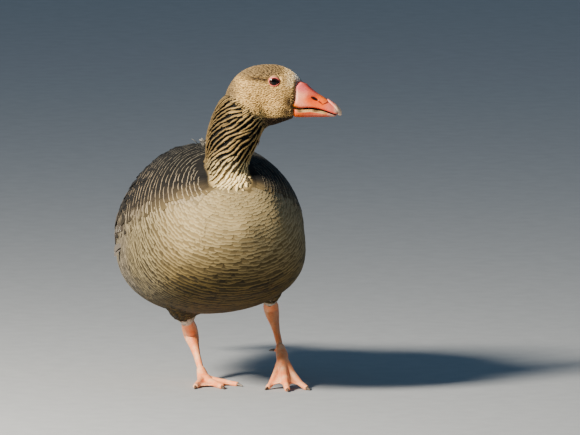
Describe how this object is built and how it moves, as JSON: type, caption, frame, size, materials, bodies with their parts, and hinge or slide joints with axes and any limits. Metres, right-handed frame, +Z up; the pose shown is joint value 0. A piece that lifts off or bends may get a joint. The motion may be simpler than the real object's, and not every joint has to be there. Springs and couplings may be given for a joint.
{
  "type": "greylag goose",
  "caption": "Life-size still model of a greylag goose, the wild form of the domestic goose, in a slow step with its head turned to its left.",
  "frame": {"origin": "middle of the bounding box's underside, on the floor under the bird", "axes": "+Z up; the bird faces -Y; +X is its left, the side its head is turned to"},
  "size_m": [0.2344, 0.4968, 0.4053],
  "materials": {
    "breast_feather": "soft matt contour feathers, pale grey-buff with fine paler tips",
    "head_feather": "short soft matt feathers, buff-brown, furrowed on the neck",
    "back_feather": "dark grey-brown feathers with pale buff tips",
    "flight_feather": "blackish flight feathers with pale shafts, faint sheen",
    "bill_skin": "smooth pink and orange horn skin, satin",
    "horn": "pale horn of nail and claws, satin",
    "eye": "dark brown, wet gloss",
    "leg_skin": "finely scaled salmon-pink leg skin, satin"
  },
  "bodies": {
    "root": {"bill_lower": "bill_skin", "bill_nail": "horn", "bill_upper": "bill_skin", "claw_hind_left": "horn", "claw_hind_right": "horn", "claw_inner_left": "horn", "claw_inner_right": "horn", "claw_middle_left": "horn", "claw_middle_right": "horn", "claw_outer_left": "horn", "claw_outer_right": "horn", "eye_left": "eye", "eye_right": "eye", "foot_left": "leg_skin", "foot_right": "leg_skin", "head": "head_feather", "neck_lower": "breast_feather", "neck_upper": "head_feather", "primaries_left": "flight_feather", "primaries_right": "flight_feather", "shank_left": "leg_skin", "shank_right": "leg_skin", "tail": "back_feather", "thigh_left": "breast_feather", "thigh_right": "breast_feather", "trunk": "breast_feather", "wing_left": "back_feather", "wing_right": "back_feather"}
  },
  "joints": []
}
